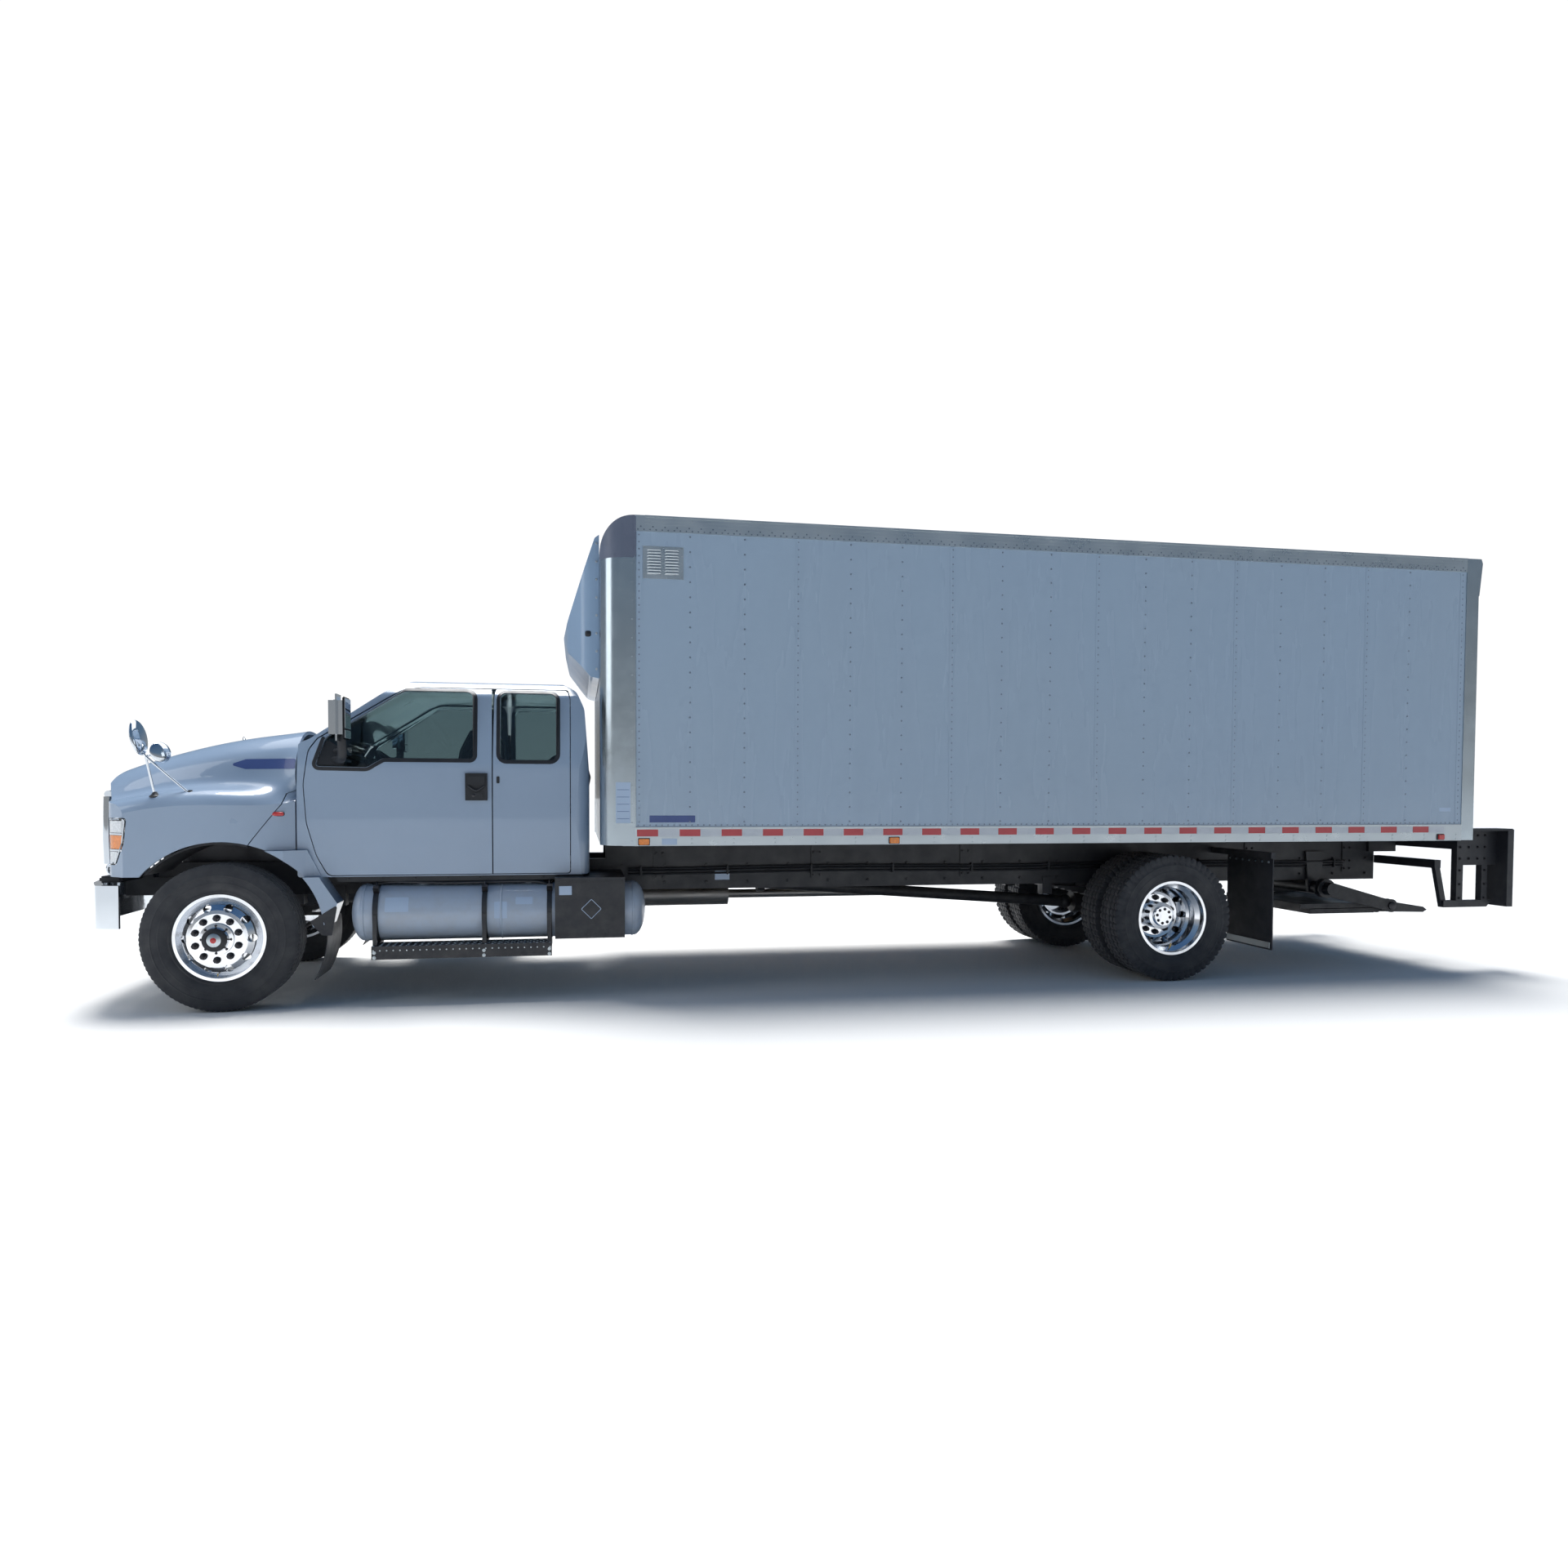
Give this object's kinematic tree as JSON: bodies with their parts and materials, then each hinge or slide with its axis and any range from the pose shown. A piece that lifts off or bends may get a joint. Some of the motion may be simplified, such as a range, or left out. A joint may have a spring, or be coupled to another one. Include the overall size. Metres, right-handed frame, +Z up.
{
  "type": "box truck",
  "caption": "Medium-duty box truck: long tilting bonnet, extended cab with rear-hinged back doors, dry freight body, dual rear wheels and a tuck-under lift gate.",
  "frame": {"origin": "on the ground under the middle of the truck's length and width", "axes": "+X forward, +Y to the driver's (left) side, +Z up"},
  "size_m": [11.27, 2.69, 3.5],
  "materials": {
    "cab_paint": "glossy white cab paint",
    "body_panel": "pre-painted smooth white aluminium sheet",
    "bright_rail": "mill-finish extruded aluminium",
    "stainless": "polished stainless corner posts",
    "cap_grey": "dark grey moulded roof caps",
    "fairing_white": "gel-coated glass fibre",
    "chassis_black": "black chassis paint",
    "cast_black": "black-painted castings and forgings",
    "engine_grey": "cast engine and gearbox",
    "spring_steel": "dark leaf spring steel",
    "exhaust_steel": "aluminised exhaust steel",
    "tank_white": "white pressure vessel paint",
    "chrome": "bright chrome plate",
    "polished_alloy": "polished forged aluminium wheels",
    "tyre_rubber": "black truck tyre",
    "flap_rubber": "black rubber sheet",
    "black_plastic": "textured black plastic",
    "grey_plastic": "grained grey interior plastic",
    "seat_fabric": "woven grey seat cloth",
    "deck_wood": "laminated hardwood deck",
    "lamp_lens": "clear lamp lens",
    "window_glass": "lightly tinted safety glass"
  },
  "bodies": {
    "chassis": {"chassis_frame": "chassis_black", "frame_crossmembers": "chassis_black", "front_bumper": "chrome", "front_axle": "cast_black", "leaf_springs": "spring_steel", "rear_axle": "cast_black", "driveshaft": "cast_black", "powertrain": "engine_grey", "exhaust_system": "exhaust_steel", "fuel_tank": "tank_white", "tank_valve_box": "chassis_black", "side_steps": "chassis_black", "mud_flaps": "flap_rubber", "cab_shell": "cab_paint", "cab_glass": "window_glass", "dashboard": "grey_plastic", "seats": "seat_fabric", "splash_panels": "cab_paint", "load_floor": "deck_wood", "floor_crossmembers": "chassis_black", "left_side_wall": "body_panel", "right_side_wall": "body_panel", "load_roof": "bright_rail", "front_wall": "body_panel", "corner_posts": "stainless", "front_cap": "cap_grey", "wind_fairing": "fairing_white", "side_rails": "bright_rail", "rear_frame": "stainless", "rollup_door": "body_panel", "liftgate_frame": "chassis_black"},
    "bonnet": {"hood": "cab_paint", "grille": "chrome", "headlamps": "lamp_lens", "hood_mirrors": "chrome", "wheel_liners": "black_plastic"},
    "left_steering_knuckle": {"left_knuckle": "cast_black"},
    "right_steering_knuckle": {"right_knuckle": "cast_black"},
    "steering_tie_rod": {"tie_rod": "cast_black"},
    "front_left_hub": {"front_left_wheel": "polished_alloy", "front_left_tyre": "tyre_rubber"},
    "front_right_hub": {"front_right_wheel": "polished_alloy", "front_right_tyre": "tyre_rubber"},
    "rear_left_hub": {"rear_left_wheels": "polished_alloy", "rear_left_tyres": "tyre_rubber"},
    "rear_right_hub": {"rear_right_wheels": "polished_alloy", "rear_right_tyres": "tyre_rubber"},
    "steering_column_wheel": {"steering_wheel": "black_plastic"},
    "front_left_door": {"left_front_door": "cab_paint", "left_front_door_glass": "window_glass", "left_door_mirror": "chrome"},
    "front_right_door": {"right_front_door": "cab_paint", "right_front_door_glass": "window_glass", "right_door_mirror": "chrome"},
    "back_left_door": {"left_rear_door": "cab_paint", "left_rear_door_glass": "window_glass"},
    "back_right_door": {"right_rear_door": "cab_paint", "right_rear_door_glass": "window_glass"},
    "lift_arms": {"liftgate_arms": "chassis_black"},
    "lift_platform": {"liftgate_platform": "chassis_black"}
  },
  "joints": [
    {"name": "left_steer", "type": "hinge", "parent": "chassis", "child": "left_steering_knuckle", "pos_m": [4.665, 0.9, 0.51], "axis": [0, 0, 1], "range_deg": [-35, 35]},
    {"name": "right_steer", "type": "hinge", "parent": "chassis", "child": "right_steering_knuckle", "pos_m": [4.665, -0.9, 0.51], "axis": [0, 0, 1], "range_deg": [-36, 36]},
    {"name": "tie_rod_swing", "type": "hinge", "parent": "left_steering_knuckle", "child": "steering_tie_rod", "pos_m": [4.485, 0.9, 0.43], "axis": [0, 0, 1], "range_deg": [-36, 36]},
    {"name": "steering_wheel_turn", "type": "hinge", "parent": "chassis", "child": "steering_column_wheel", "pos_m": [3.655, 0.45, 1.64], "axis": [-0.848, 0, 0.5299], "range_deg": [-600, 600]},
    {"name": "front_left_roll", "type": "hinge", "parent": "left_steering_knuckle", "child": "front_left_hub", "pos_m": [4.665, 1.05, 0.51], "axis": [0, 1, 0], "continuous": true},
    {"name": "front_right_roll", "type": "hinge", "parent": "right_steering_knuckle", "child": "front_right_hub", "pos_m": [4.665, -1.05, 0.51], "axis": [0, 1, 0], "continuous": true},
    {"name": "rear_left_roll", "type": "hinge", "parent": "chassis", "child": "rear_left_hub", "pos_m": [-2.455, 0.929, 0.51], "axis": [0, 1, 0], "continuous": true},
    {"name": "rear_right_roll", "type": "hinge", "parent": "chassis", "child": "rear_right_hub", "pos_m": [-2.455, -0.929, 0.51], "axis": [0, 1, 0], "continuous": true},
    {"name": "front_left_door_swing", "type": "hinge", "parent": "chassis", "child": "front_left_door", "pos_m": [4.14, 1.01, 1.5], "axis": [0, 0, -1], "range_deg": [0, 65]},
    {"name": "front_right_door_swing", "type": "hinge", "parent": "chassis", "child": "front_right_door", "pos_m": [4.14, -1.01, 1.5], "axis": [0, 0, 1], "range_deg": [0, 65]},
    {"name": "back_left_door_swing", "type": "hinge", "parent": "chassis", "child": "back_left_door", "pos_m": [2.325, 1.01, 1.5], "axis": [0, 0, 1], "range_deg": [0, 90]},
    {"name": "back_right_door_swing", "type": "hinge", "parent": "chassis", "child": "back_right_door", "pos_m": [2.325, -1.01, 1.5], "axis": [0, 0, -1], "range_deg": [0, 90]},
    {"name": "bonnet_tilt", "type": "hinge", "parent": "chassis", "child": "bonnet", "pos_m": [5.445, 0, 1.01], "axis": [0, 1, 0], "range_deg": [0, 60]},
    {"name": "lift_lower", "type": "hinge", "parent": "chassis", "child": "lift_arms", "pos_m": [-4.335, 0, 0.665], "axis": [0, -1, 0], "range_deg": [0, 25]},
    {"name": "lift_level", "type": "hinge", "parent": "lift_arms", "child": "lift_platform", "pos_m": [-5.005, 0, 0.5], "axis": [0, -1, 0], "range_deg": [-25, 0]}
  ],
  "couplings": [
    {"joint": "right_steer", "follows": "left_steer", "ratio": 1},
    {"joint": "tie_rod_swing", "follows": "left_steer", "ratio": -1},
    {"joint": "steering_wheel_turn", "follows": "left_steer", "ratio": 16},
    {"joint": "lift_level", "follows": "lift_lower", "ratio": -1}
  ]
}
